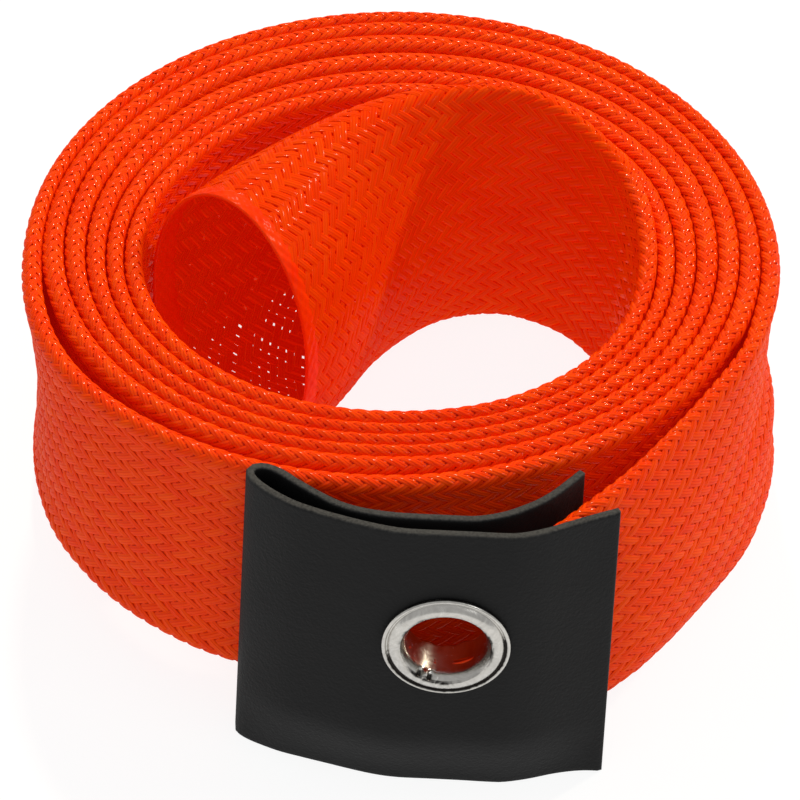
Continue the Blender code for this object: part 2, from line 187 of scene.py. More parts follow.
def curve_through(points, steps):
    """Points on a smooth curve through the given ones, with this many steps between neighbours."""
    rows = np.asarray(points, float)
    ends = np.vstack([2 * rows[0] - rows[1], rows, 2 * rows[-1] - rows[-2]])
    found = []
    for a, b, c, d in zip(ends, ends[1:], ends[2:], ends[3:]):
        for step in range(steps):
            u = step / steps
            bend = (2 * a - 5 * b + 4 * c - d) * u + (3 * b - a - 3 * c + d) * u * u
            found.append(b + 0.5 * u * (c - a + bend))
    return np.vstack([found, rows[-1]])


def turn_radius(degrees):
    """The outer face's radius at an angle wound on from the tag."""
    radii = np.concatenate(TURN_RADII)[:, None]
    steps = 10
    fine = curve_through(radii, steps)[:, 0]
    return np.interp(degrees, np.arange(len(fine)) * RADII_EVERY_DEG / steps, fine)


def coil_stations():
    """One station a degree along the wound turns, in the columns of the lists above."""
    wound = np.arange(COIL_FROM_DEG + 1, COIL_TO_DEG)
    radius = turn_radius(wound) - BAND_HALF_THICK
    angle = np.radians(wound + FRONT_DEG)
    share = np.clip((wound - WIDEN_FROM_DEG) / (COIL_TO_DEG - WIDEN_FROM_DEG), 0.0, 1.0)
    rows = np.zeros((len(wound), 8))
    rows[:, 0] = radius * np.cos(angle)
    rows[:, 1] = radius * np.sin(angle)
    rows[:, 3] = BAND_HEIGHT * (1 + WIDEN_BY * share)
    rows[:, 4] = BAND_HALF_THICK * (1 + WIDEN_BY * share)
    return rows, wound


def sleeve_stations():
    """Even steps along the whole sleeve, and the angle wound at each."""
    tail = curve_through(TAIL_STATIONS, 12)[::-1]
    coil, wound = coil_stations()
    mouth = curve_through(MOUTH_STATIONS, 12)
    rows = np.vstack([tail, coil, mouth])
    degrees = np.concatenate(
        [
            COIL_FROM_DEG - 1 - np.arange(len(tail))[::-1],
            wound,
            COIL_TO_DEG + 1 + np.arange(len(mouth)),
        ]
    )
    gone = np.concatenate([[0.0], np.cumsum(np.linalg.norm(np.diff(rows[:, :2], axis=0), axis=1))])
    even = np.linspace(0.0, gone[-1], int(gone[-1] / ROW_STEP) + 1)
    rows = np.column_stack([np.interp(even, gone, column) for column in rows.T])
    padded = np.pad(rows, ((2, 2), (0, 0)), mode="reflect", reflect_type="odd")
    rows = sum(w * padded[k : k + len(rows)] for k, w in enumerate((0.1, 0.2, 0.4, 0.2, 0.1)))
    return rows, even, np.interp(even, gone, degrees)


def bead_reach(wound):
    """How far a turn's folds swell on its outer and its inner side, at each angle wound on."""
    radius = turn_radius(wound)
    outer = (turn_radius(wound - 360) - radius) / 2 - WALL - BEAD_GAP
    inner = (radius - turn_radius(wound + 360)) / 2 - WALL - BEAD_GAP
    outer = np.where(wound < OUTERMOST_TO, BEAD_FREE_OUT, outer)
    inner = np.where(wound > INNERMOST_FROM, BEAD_FREE_IN, inner)
    return np.clip(outer, BEAD_LEAST, BEAD_MOST), np.clip(inner, BEAD_LEAST, BEAD_MOST)


def outermost_lean(wound, share):
    """How far the outermost turn stands out, at each angle wound on and share of the height."""
    table = np.asarray(OUTERMOST_LEAN)
    levels = [np.interp(wound, table[:, 0], column)[:, None] for column in table[:, 1:].T]
    out = levels[0] + 0 * share
    for low, high, start, end in zip(LEAN_SHARES, LEAN_SHARES[1:], levels, levels[1:]):
        out = out + (end - start) * smoothstep(low, high, share)
    return out


def section_points(rows, wound):
    """Points round every section at even steps, from the upper fold down the outside and back."""
    along = np.gradient(rows[:, :2], axis=0)
    along /= np.linalg.norm(along, axis=1)[:, None]
    side = np.column_stack([along[:, 1], -along[:, 0]])[:, None]
    turn = np.linspace(0.0, 2 * math.pi, RING_POINTS)
    up = np.cos(turn)[None]
    x, y, low, high, half, bow, top_x, top_y = (column[:, None] for column in rows.T)
    half = np.maximum(half - WALL, HALF_LEAST)
    reach_out, reach_in = (reach[:, None] for reach in bead_reach(wound))
    swell = smoothstep(*BEADS_START, wound) * (1 - smoothstep(*BEADS_END, wound))
    tall = (high - low) / 2 - WALL
    from_fold = tall * (1 - np.abs(up))
    band = np.sqrt(1 - np.clip(1 - from_fold / FOLD_ROUND, 0.0, 1.0) ** 2)
    band = band - FOLD_PINCH * smoothstep(FOLD_ROUND, FOLD_PINCHED_AT, from_fold)
    open_share = smoothstep(*TUBE_HALF, half)
    is_tail = np.arange(len(rows))[:, None] < len(rows) // 2
    tube = np.sqrt(1 - np.abs(up) ** np.where(is_tail, 3.0, 2.0))
    bead = swell[:, None] * (1 - smoothstep(BEAD_ROUND_TO, BEAD_DEEP, from_fold))
    half = half + bead * ((reach_out + reach_in) / 2 - half)
    out = half * ((1 - open_share) * band + open_share * tube) * np.sign(np.sin(turn))[None]
    out = out + bow * (1 - up * up) + bead * (reach_out - reach_in) / 2
    out = out + outermost_lean(wound, (1 + up) / 2)
    points = np.stack(
        [
            x + side[..., 0] * out + top_x / 2 * up,
            y + side[..., 1] * out + top_y / 2 * up,
            (low + high) / 2 + tall * up,
        ],
        axis=-1,
    )
    share = np.arange(COLUMNS) / COLUMNS
    even = np.empty((len(rows), COLUMNS, 3))
    round_it = np.empty(len(rows))
    for number, ring in enumerate(points):
        gone = np.concatenate([[0.0], np.cumsum(np.linalg.norm(np.diff(ring, axis=0), axis=1))])
        round_it[number] = gone[-1]
        for axis in range(3):
            even[number, :, axis] = np.interp(share * gone[-1], gone, ring[:, axis])
    return even, round_it


def skin_normals(points):
    """Outward unit normals of the grid."""
    along = np.gradient(points, axis=0)
    around = np.roll(points, -1, axis=1) - np.roll(points, 1, axis=1)
    normal = np.cross(along, around)
    normal /= np.linalg.norm(normal, axis=2)[..., None]
    outwards = points - points.mean(axis=1, keepdims=True)
    return normal * np.sign((normal * outwards).sum())


ROWS, GONE, WOUND = sleeve_stations()
SKIN, ROUND_IT = section_points(ROWS, WOUND)
NORMALS = skin_normals(SKIN)
AXIAL = np.sqrt(LOZENGE**2 - (ROUND_IT / YARNS) ** 2)
LAID = np.concatenate([[0.0], np.cumsum(2 * np.diff(GONE) / (AXIAL[1:] + AXIAL[:-1]))])


def on_skin(grid, row, share):
    """The grid's value at fractional rows and shares of the way round."""
    row = np.clip(row, 0.0, len(grid) - 1.001)
    column = (share % 1.0) * COLUMNS
    r, c = np.floor(row).astype(int), np.floor(column).astype(int)
    fr, fc = (row - r)[..., None], (column - c)[..., None]
    c %= COLUMNS
    d = (c + 1) % COLUMNS
    return (1 - fr) * ((1 - fc) * grid[r, c] + fc * grid[r, d]) + fr * (
        (1 - fc) * grid[r + 1, c] + fc * grid[r + 1, d]
    )


def add_mesh(name, points, faces, material, attributes=None):
    """A mesh from points in millimetres in the coil's frame, with its attributes by point."""
    mesh = bpy.data.meshes.new(name)
    spun = np.asarray(points, float) * MM @ np.array(ROW.to_3x3()).T + np.array(ROW.translation)
    mesh.vertices.add(len(spun))
    mesh.vertices.foreach_set("co", spun.astype(np.float32).ravel())
    faces = np.asarray(faces)
    mesh.loops.add(faces.size)
    mesh.loops.foreach_set("vertex_index", faces.astype(np.int32).ravel())
    mesh.polygons.add(len(faces))
    mesh.polygons.foreach_set("loop_start", np.arange(len(faces), dtype=np.int32) * faces.shape[1])
    mesh.update(calc_edges=True)
    for key, values in (attributes or {}).items():
        layer = mesh.attributes.new(key, "FLOAT", "POINT")
        layer.data.foreach_set("value", np.asarray(values, np.float32).ravel())
    mesh.polygons.foreach_set("use_smooth", np.ones(len(faces), bool))
    mesh.materials.append(material)
    obj = bpy.data.objects.new(name, mesh)
    bpy.context.scene.collection.objects.link(obj)
    return obj


def yarn_section(closed):
    """Places across a flat yarn, from -1 to 1, and heights over its middle. A closed yarn has an
    underside, for where the braid is seen from both sides."""
    across = np.array([-1.0, -0.65, 0.0, 0.65, 1.0])
    height = YARN_THICK / 2 * np.array([-0.9, 0.6, 1.0, 0.6, -0.9])
    if closed:
        across = np.append(across, [0.5, -0.5])
        height = np.append(height, [-YARN_THICK / 2, -YARN_THICK / 2])
    return across, height


def braid(name, first, last, keep, closed, material):
    """The yarns of both families between two rows of the grid, where keep says they show."""
    across, height = yarn_section(closed)
    start, stop = (math.ceil(LAID[end] * STEPS_PER_LOZENGE) for end in (first, last))
    laid = np.unique(np.clip(np.arange(start, stop + 1) / STEPS_PER_LOZENGE, 0.0, LAID[-1]))
    row = np.interp(laid, LAID, np.arange(len(LAID)))
    axial = np.interp(row, np.arange(len(ROWS)), AXIAL)
    round_it = np.interp(row, np.arange(len(ROWS)), ROUND_IT)
    opened = smoothstep(*OPENED_ROUND, round_it)
    relief = 1 - (1 - RELIEF_AT_MOUTH) * opened
    around = round_it / YARNS
    lane = around * axial / LOZENGE
    points, faces, spread, tint = [], [], [], []
    count = 0
    for way in (1, -1):
        number = np.arange(YARNS)[:, None]
        stray = STRAY_AT_MOUTH * np.random.default_rng(STRAY_SEED + way).standard_normal((YARNS, 1))
        share = (number + way * laid[None] + stray * opened) / YARNS
        shown = keep(row[None] + 0 * share, share)
        wave = np.cos(math.pi * share * YARNS - math.pi / 4)
        wave = np.clip(WAVE_STEEP * wave, -1, 1) * way
        width = lane * yarn_fill(row, share, opened)
        rows_off = -way * (around / LOZENGE) * width / 2 / ROW_STEP
        share_off = axial / LOZENGE * width / 2 / round_it
        r = row[None, :, None] + rows_off[..., None] * across
        s = share[..., None] + share_off[..., None] * across
        spot = on_skin(SKIN, r, s)
        normal = on_skin(NORMALS, r, s)
        lift = relief[:, None] * (YARN_SWING * wave[..., None] + height)
        spot += normal * lift[..., None]
        steps, wide = len(laid), len(across)
        index = np.arange(YARNS * steps * wide).reshape(YARNS, steps, wide)
        a, b = index[:, :-1], index[:, 1:]
        if closed:
            a2, b2 = np.roll(a, -1, axis=2), np.roll(b, -1, axis=2)
        else:
            a, a2, b, b2 = a[..., :-1], a[..., 1:], b[..., :-1], b[..., 1:]
        quads = np.stack([a, a2, b2, b] if way > 0 else [a, b, b2, a2], axis=-1)
        quads = quads[shown[:, :-1] & shown[:, 1:]].reshape(-1, 4)
        points.append(spot.reshape(-1, 3))
        faces.append(quads + count)
        spread.append(np.broadcast_to(across, spot.shape[:3]).ravel())
        random = np.random.default_rng(TINT_SEED + way).random(YARNS)
        tint.append(np.broadcast_to(random[:, None, None], spot.shape[:3]).ravel())
        count += spot[..., 0].size
    points, faces = np.vstack(points), np.vstack(faces)
    used, renamed = np.unique(faces, return_inverse=True)
    data = {"across": np.concatenate(spread)[used], "tint": np.concatenate(tint)[used]}
    return add_mesh(name, points[used], renamed.reshape(-1, 4), material, data)


def yarn_fill(row, share, opened):
    """How much of its lane a yarn fills: less where the tube is stretched open."""
    over = depths(row[None] + 0 * share, share)[1]
    low_down = 1 - smoothstep(*LOW_OVER_FOLD, over)
    at_mouth = FILL_AT_MOUTH + (FILL_LOW_AT_MOUTH - FILL_AT_MOUTH) * low_down
    return YARN_FILL + (at_mouth - YARN_FILL) * opened


# Where the yarns show. The rest of each turn lies pressed between its neighbours.
FOLD_DEEP_TOP = 7.0
FOLD_DEEP_BASE = 3.0
CRESCENT_DEEP = 24.0
FULL_OUTSIDE_TO = 442.0
FULL_INSIDE_FROM = 1915.0
OUTER_CRESCENT = (255.0, 365.0)
SECOND_TURN_CRESCENT = (600.0, 735.0)


def depths(row, share):
    """How far a place is under the upper fold and over the lower one, and whether it faces out."""
    points = on_skin(SKIN, row, share)
    low = np.interp(row, np.arange(len(ROWS)), ROWS[:, 2])
    high = np.interp(row, np.arange(len(ROWS)), ROWS[:, 3])
    return high - points[..., 2], points[..., 2] - low, (share % 1.0) < 0.5


def shows_on_coil(row, share):
    """The folds, the whole of the outermost and innermost faces, and two crescents."""
    under, over, outside = depths(row, share)
    wound = np.interp(row, np.arange(len(ROWS)), WOUND)
    shown = (under < FOLD_DEEP_TOP) | (over < FOLD_DEEP_BASE)
    shown |= outside & (wound < FULL_OUTSIDE_TO)
    shown |= ~outside & (wound > FULL_INSIDE_FROM)
    inner_side = (wound > OUTER_CRESCENT[0]) & (wound < OUTER_CRESCENT[1])
    shown |= ~outside & inner_side & (under < CRESCENT_DEEP)
    second = (wound > SECOND_TURN_CRESCENT[0]) & (wound < SECOND_TURN_CRESCENT[1])
    shown |= outside & second & (under < CRESCENT_DEEP)
    return shown


def shows_on_tail(row, share):
    """All of the outer end but the hole that the eyelet takes."""
    points = on_skin(SKIN, row, share)
    off_x, off_z = points[..., 0] - EYELET_AT[0], points[..., 2] - EYELET_AT[2]
    return (off_x**2 + off_z**2 > EYELET_HOLE_R**2) | (points[..., 0] > 20)


def shows_all(row, share):
    return np.ones(np.broadcast(row, share).shape, bool)


def row_at(wound):
    """The grid's row at an angle wound on."""
    return int(np.searchsorted(WOUND, wound))


LINING_CLEAR = 0.02


def lining(name, first, last, material):
    """The flattened tube's inside, seen between the yarns."""
    columns = fold_columns()
    rows = np.append(np.arange(first, last, 2), last)
    depth = WALL + LINING_CLEAR
    points = SKIN[rows][:, columns] - depth * NORMALS[rows][:, columns]
    return add_mesh(name, points.reshape(-1, 3), tube_faces(len(rows), len(columns)), material)


def fold_columns():
    """Columns of the grid, close together round both folds and wide apart on the faces."""
    half = COLUMNS // 2
    near = np.array([0, 2, 4, 6, 9, 13, 20])
    side = np.unique(np.concatenate([near, np.linspace(20, half - 20, 8).astype(int), half - near]))
    return np.unique(np.concatenate([side, half + side]) % COLUMNS)


def tube_faces(rows, columns):
    """Quads between the rows of a grid that closes on itself round each row."""
    index = np.arange(rows * columns).reshape(rows, columns)
    beside = np.roll(index, -1, axis=1)
    quads = np.stack([index[:-1], beside[:-1], beside[1:], index[1:]], axis=-1)
    return quads.reshape(-1, 4)


# The hem: the tube's end turned in and pressed smooth, outside, over the rim and back inside.
HEM_OUTSIDE = 2.7
HEM_INSIDE = 4.4
HEM_OVER = 0.06
HEM_STEP = 0.25
HEM_FADE = 1.4
HEM_CLEAR = 0.02
HEM_RIDGES = 0.05
HEM_ROLL = 0.8


def mouth_hem(material):
    """The hem from its outer edge over the rim to its inner edge, the yarns just showing."""
    rim = len(ROWS) - 1
    raise_by = WALL + HEM_OVER
    outside = np.arange(HEM_OUTSIDE, 0, -HEM_STEP)
    roll = np.linspace(0, math.pi, 9)
    inside = np.arange(HEM_STEP, HEM_INSIDE, HEM_STEP)
    back = np.concatenate([outside, 0 * roll, inside])
    lift = np.concatenate(
        [
            raise_by * smoothstep(0, HEM_FADE, HEM_OUTSIDE - outside) + HEM_CLEAR,
            raise_by * np.cos(roll),
            -raise_by * smoothstep(0, HEM_FADE, HEM_INSIDE - inside) - HEM_CLEAR,
        ]
    )
    push = np.concatenate([0 * outside, HEM_ROLL * raise_by * np.sin(roll), 0 * inside])
    share = np.arange(COLUMNS) / COLUMNS
    row = rim - back / ROW_STEP
    rows, shares = np.broadcast_arrays(row[:, None], share)
    spot, normal = on_skin(SKIN, rows, shares), on_skin(NORMALS, rows, shares)
    ahead = SKIN[rim] - SKIN[rim - 1]
    ahead /= np.linalg.norm(ahead, axis=1)[:, None]
    laid = np.interp(row, np.arange(len(LAID)), LAID)[:, None]
    ridges = sum(np.cos(2 * math.pi * (share * YARNS + way * laid)) for way in (-1, 1))
    lift = lift[:, None] + HEM_RIDGES * ridges * np.sign(lift + 1e-9)[:, None]
    spot = spot + normal * lift[..., None] + ahead[None] * push[:, None, None]
    return add_mesh("hem_band", spot.reshape(-1, 3), tube_faces(len(row), COLUMNS), material)


# Materials. A painted glow, an emission in deep red, stands in for light that soaks through the
# plastic, a shade lighter at thin edges.
PAINTED_GLOW_RED = (1.0, 0.012, 0.0)
PAINTED_GLOW_RED_EDGE = (1.0, 0.015, 0.0)
YARN_SHADES = (
    (0.0, (0.30, 0.005, 0.0001)), (0.2, (0.74, 0.026, 0.0004)),
    (0.5, (0.78, 0.048, 0.0008)), (0.9, (0.82, 0.085, 0.0014)),
)


def new_material(name):
    material = bpy.data.materials.new(name)
    material.use_nodes = True
    nodes, links = material.node_tree.nodes, material.node_tree.links
    return material, nodes, links, nodes["Principled BSDF"]


def attribute(nodes, name):
    node = nodes.new("ShaderNodeAttribute")
    node.attribute_name = name
    return node.outputs["Fac"]


def math_node(nodes, links, operation, first, second=None):
    node = nodes.new("ShaderNodeMath")
    node.operation = operation
    for socket, value in zip(node.inputs, (first, second)):
        if value is None:
            continue
        if isinstance(value, (int, float)):
            socket.default_value = value
        else:
            links.new(value, socket)
    return node.outputs[0]


def ramp(nodes, links, factor, stops):
    node = nodes.new("ShaderNodeValToRGB")
    elements = node.color_ramp.elements
    while len(elements) < len(stops):
        elements.new(0.5)
    for element, (at, color) in zip(elements, stops):
        element.position = at
        element.color = (*color, 1.0)
    links.new(factor, node.inputs["Fac"])
    return node.outputs["Color"]


def noise(nodes, links, scale, detail=2.0, distortion=0.0):
    where = nodes.new("ShaderNodeTexCoord")
    node = nodes.new("ShaderNodeTexNoise")
    node.inputs["Scale"].default_value = scale
    node.inputs["Detail"].default_value = detail
    node.inputs["Distortion"].default_value = distortion
    links.new(where.outputs["Object"], node.inputs["Vector"])
    return node.outputs["Fac"]


def bump(nodes, links, shader, height, distance, strength=1.0):
    node = nodes.new("ShaderNodeBump")
    node.inputs["Strength"].default_value = strength
    node.inputs["Distance"].default_value = distance
    links.new(height, node.inputs["Height"])
    links.new(node.outputs["Normal"], shader.inputs["Normal"])


def painted_edge_glow(nodes, links, shader, edge, middle):
    """Painted glow: more of it at a yarn's thin edges than at its middle."""
    dim = [middle * c for c in PAINTED_GLOW_RED]
    color = ramp(nodes, links, edge, [(0.0, dim), (0.6, dim), (1.0, PAINTED_GLOW_RED_EDGE)])
    links.new(color, shader.inputs["Emission Color"])


def painted_glow_and_sheen(shader, glow, sheen, roughness):
    """A painted glow, an emission that stands in for light soaking through the thin plastic, and a
    thin clear skin that glints.
    """
    shader.inputs["Emission Color"].default_value = (*PAINTED_GLOW_RED, 1.0)
    shader.inputs["Emission Strength"].default_value = glow
    shader.inputs["Specular IOR Level"].default_value = 0.0
    shader.inputs["Coat Weight"].default_value = sheen
    shader.inputs["Coat Roughness"].default_value = roughness


def braid_material(name, bright, glow, middle, grooves, edges, sheen):
    """Glossy plastic yarn: three filaments side by side in each, every yarn a little its own.

    The looks differ in base brightness, painted glow and how much of it the middle lets through,
    depth of the grooves in metres, painted shade at the yarn's edges, and weight of the clear skin.
    Each filament's crest is painted lighter, a painted highlight.
    """
    material, nodes, links, shader = new_material(name)
    across = attribute(nodes, "across")
    filaments = math_node(nodes, links, "MULTIPLY", across, 1.5 * math.pi)
    filaments = math_node(nodes, links, "COSINE", filaments)
    filaments = math_node(nodes, links, "ABSOLUTE", filaments)
    tint = math_node(nodes, links, "MULTIPLY", attribute(nodes, "tint"), 0.25)
    mottle = math_node(nodes, links, "MULTIPLY", noise(nodes, links, 160.0, 3.0), 0.4)
    blend = math_node(nodes, links, "ADD", tint, mottle)
    # Painted highlight: each filament's crest a shade lighter.
    painted_crest_light = math_node(nodes, links, "MULTIPLY", filaments, 0.3)
    blend = math_node(nodes, links, "ADD", blend, painted_crest_light)
    # Painted shade: darker at the yarn's edges, in the slits between the yarns.
    edge = math_node(nodes, links, "ABSOLUTE", across)
    painted_edge_shade = math_node(nodes, links, "POWER", edge, 7.0)
    painted_edge_shade = math_node(nodes, links, "MULTIPLY", painted_edge_shade, edges)
    blend = math_node(nodes, links, "SUBTRACT", blend, painted_edge_shade)
    stops = [(at, [bright * c for c in shade]) for at, shade in YARN_SHADES]
    color = ramp(nodes, links, blend, stops)
    links.new(color, shader.inputs["Base Color"])
    rough = math_node(nodes, links, "MULTIPLY", noise(nodes, links, 900.0, 1.0), 0.3)
    links.new(math_node(nodes, links, "ADD", rough, 0.3), shader.inputs["Roughness"])
    # Painted glow: an emission, more of it at the yarns' edges, and a clear skin.
    painted_glow_and_sheen(shader, glow, sheen, 0.12)
    painted_edge_glow(nodes, links, shader, edge, middle)
    bump(nodes, links, shader, filaments, grooves, 0.8)
    return material


def lining_material():
    material, nodes, links, shader = new_material("orange_lining")
    color = ramp(
        nodes, links, noise(nodes, links, 500.0, 2.0),
        [(0.3, (0.70, 0.018, 0.0004)), (0.7, (0.76, 0.028, 0.0007))],
    )
    links.new(color, shader.inputs["Base Color"])
    shader.inputs["Roughness"].default_value = 0.6
    # Painted glow, as on the yarns, and no clear skin.
    painted_glow_and_sheen(shader, 0.08, 0.0, 0.5)
    return material


def hem_material():
    """The same plastic, pressed smooth, with the yarns only just showing."""
    material, nodes, links, shader = new_material("orange_hem")
    mottle = noise(nodes, links, 220.0, 4.0)
    color = ramp(
        nodes, links, mottle,
        [(0.3, (0.74, 0.024, 0.0005)), (0.7, (0.78, 0.042, 0.001))],
    )
    links.new(color, shader.inputs["Base Color"])
    rough = math_node(nodes, links, "MULTIPLY", noise(nodes, links, 700.0, 2.0), 0.2)
    links.new(math_node(nodes, links, "ADD", rough, 0.25), shader.inputs["Roughness"])
    # Painted glow, as on the yarns, and a clear skin.
    painted_glow_and_sheen(shader, 0.11, 0.12, 0.25)
    bump(nodes, links, shader, noise(nodes, links, 1500.0, 3.0), 0.00005, 0.6)
    return material


def tag_material():
    """Black synthetic leather: fine grain, a faint bloom, and raw edges a shade lighter."""
    material, nodes, links, shader = new_material("black_tag")
    edge = attribute(nodes, "edge")
    fibre = noise(nodes, links, 2600.0, 4.0)
    bloom = noise(nodes, links, 60.0, 5.0, 0.6)
    worn = math_node(nodes, links, "MULTIPLY", edge, fibre)
    mixed = math_node(nodes, links, "ADD", worn, math_node(nodes, links, "MULTIPLY", bloom, 0.35))
    color = ramp(
        nodes, links, mixed,
        [(0.1, (0.004, 0.004, 0.0041)), (0.35, (0.008, 0.008, 0.0082)), (0.8, (0.05, 0.05, 0.048))],
    )
    links.new(color, shader.inputs["Base Color"])
    rough = math_node(nodes, links, "MULTIPLY", bloom, 0.2)
    links.new(math_node(nodes, links, "ADD", rough, 0.55), shader.inputs["Roughness"])
    shader.inputs["Specular IOR Level"].default_value = 0.17
    grain = math_node(nodes, links, "ADD", noise(nodes, links, 1400.0, 6.0, 0.4), fibre)
    bump(nodes, links, shader, grain, 0.00012, 0.7)
    return material


def eyelet_material():
    """Nickel plate with fine scratches, and painted shade in its groove, inner step and dent."""
    material, nodes, links, shader = new_material("nickel")
    scratches = noise(nodes, links, 420.0, 8.0, 3.0)
    # Painted shade darkens the groove, the inner step and the dent's creases.
    shade_darkening = math_node(nodes, links, "MULTIPLY", attribute(nodes, "hollow"), 0.9)
    clean = math_node(nodes, links, "SUBTRACT", scratches, shade_darkening)
    color = ramp(
        nodes, links, clean,
        [(0.0, (0.02, 0.018, 0.016)), (0.3, (0.47, 0.455, 0.425)), (0.7, (0.61, 0.595, 0.56))],
    )
    links.new(color, shader.inputs["Base Color"])
    shader.inputs["Metallic"].default_value = 1.0
    rough = math_node(nodes, links, "MULTIPLY", scratches, 0.22)
    links.new(math_node(nodes, links, "ADD", rough, 0.12), shader.inputs["Roughness"])
    bump(nodes, links, shader, scratches, 0.00003, 0.5)
    return material


# The end tag: a strip of synthetic leather folded round the tail, with soft cut edges.
TAG_NEAR_EDGE = np.array([0.0, 0.06, 0.16, 0.34, 0.7, 1.5])
TAG_STEP = 0.9
TAG_SOFT = 0.34
TAG_EDGE_THIN = 0.55
TAG_WORN = 0.22
# Over the eyelet the inner flap leaves the tail earlier, in an even curve.
FLAP_EASE = 1.3
FLAP_EASE_X = 16.2
FLAP_EASE_REACH = 7.0
FLAP_EASE_Z = (27.5, 37.0)
# How far the strip is slid to the right at its left fold and its right edge, top and bottom.
SLIDE_X = (-20.0, 29.6)
SLIDE_TOP = (1.5, -0.2)
SLIDE_FOOT = (0.6, 0.45)


def with_close_ends(length):
    """Places from 0 to a length, close together near both ends."""
    count = int((length - 2 * TAG_NEAR_EDGE[-1]) / TAG_STEP)
    middle = np.linspace(TAG_NEAR_EDGE[-1], length - TAG_NEAR_EDGE[-1], count)
    return np.concatenate([TAG_NEAR_EDGE[:-1], middle, length - TAG_NEAR_EDGE[-2::-1]])


def tag_plan():
    """The strip's middle line in plan, its level normals and the way gone along it."""
    fine = curve_through(TAG_PATH, 24)
    run = np.concatenate([[0.0], np.cumsum(np.linalg.norm(np.diff(fine, axis=0), axis=1))])
    gone = with_close_ends(run[-1])
    line = np.column_stack([np.interp(gone, run, column) for column in fine.T])
    along = np.column_stack([np.interp(gone, run, c) for c in np.gradient(fine, run, axis=0).T])
    along /= np.linalg.norm(along, axis=1)[:, None]
    return line, np.column_stack([-along[:, 1], along[:, 0]]), gone


def tuck(x, z):
    """How far the tag is drawn in towards the coil at a place on it, as in the CAD."""
    across = np.clip(np.abs(x - TUCK_MIDDLE_X) / TUCK_REACH_X, 0.0, 1.0)
    return TUCK_IN * (1 - across**4) * smoothstep(0.0, TUCK_FROM_Z - TUCK_TO_Z, TUCK_FROM_Z - z)


def end_tag(material):
    """The strip as a closed skin, its foot cut level with the floor, punched for the eyelet."""
    line, normal, gone = tag_plan()
    lean = math.radians(LEAN_DEG)
    foot_y = line[:, 1:] + tuck(line[:, :1], TUCK_TO_Z)
    foot = -(FRAME_AT[2] - math.sin(lean) * foot_y) / math.cos(lean)
    up = with_close_ends(TAG_HIGH - foot.mean()) / (TAG_HIGH - foot.mean())
    share = np.concatenate([up, up[::-1]])[None]
    z = foot + (TAG_HIGH - foot) * share
    in_from_end = np.minimum(gone, gone[-1] - gone)[:, None]
    in_from_edge = np.minimum(np.minimum(z - foot, TAG_HIGH - z), in_from_end)
    rounding = np.sqrt(1 - (1 - np.clip(in_from_edge / TAG_SOFT, 0, 1)) ** 2)
    thick = TAG_THICK * (TAG_EDGE_THIN + (1 - TAG_EDGE_THIN) * rounding)
    across = thick / 2 * np.repeat([-1.0, 1.0], len(up))
    slide = (1 - share) * np.interp(line[:, :1], SLIDE_X, SLIDE_FOOT)
    slide = slide + share * np.interp(line[:, :1], SLIDE_X, SLIDE_TOP)
    x = line[:, :1] + normal[:, :1] * across + slide
    y = line[:, 1:] + normal[:, 1:] * across + tuck(x, z)
    inner_flap = np.arange(len(line))[:, None] > len(line) // 2
    near = np.clip(np.abs(line[:, :1] - FLAP_EASE_X) / FLAP_EASE_REACH, 0.0, 1.0)
    y = y + inner_flap * FLAP_EASE * np.cos(math.pi / 2 * near) ** 2 * smoothstep(*FLAP_EASE_Z, z)
    rows, columns = x.shape
    faces = tube_faces(rows, columns)
    ends = []
    for start in (0, (rows - 1) * columns):
        k = np.arange(columns // 2 - 1)
        ends.append(start + np.stack([k, k + 1, columns - 2 - k, columns - 1 - k], axis=-1))
    worn = np.exp(-in_from_edge / TAG_WORN)
    points = np.stack([x, y, z], axis=-1).reshape(-1, 3)
    tag = add_mesh("tag_strip", points, np.vstack([faces] + ends), material, {"edge": worn})
    turn_faces_out(tag)
    punch(tag)
    return tag


def turn_faces_out(piece):
    """Makes every face of a closed mesh point outwards."""
    shape = bmesh.new()
    shape.from_mesh(piece.data)
    bmesh.ops.recalc_face_normals(shape, faces=shape.faces)
    shape.to_mesh(piece.data)
    shape.free()


PUNCH_SIDES = 96
PUNCH_DEPTH = 14


def punch(tag):
    """Cuts the eyelet's hole through both flaps."""
    shape = bmesh.new()
    bmesh.ops.create_cone(
        shape, cap_ends=True, segments=PUNCH_SIDES, radius1=EYELET_HOLE_R * MM,
        radius2=EYELET_HOLE_R * MM, depth=PUNCH_DEPTH * MM,
    )
    place = ROW @ Matrix.Translation(Vector(EYELET_AT) * MM) @ Matrix.Rotation(math.pi / 2, 4, "X")
    bmesh.ops.transform(shape, matrix=place, verts=shape.verts)
    mesh = bpy.data.meshes.new("punch")
    shape.to_mesh(mesh)
    shape.free()
    cutter = bpy.data.objects.new("punch", mesh)
    bpy.context.scene.collection.objects.link(cutter)
    hole = tag.modifiers.new("hole", "BOOLEAN")
    hole.operation = "DIFFERENCE"
    hole.solver = "EXACT"
    hole.object = cutter
    bpy.context.view_layer.update()
    graph = bpy.context.evaluated_depsgraph_get()
    cut = bpy.data.meshes.new_from_object(tag.evaluated_get(graph))
    tag.modifiers.clear()
    tag.data = cut
    bpy.data.objects.remove(cutter, do_unlink=True)


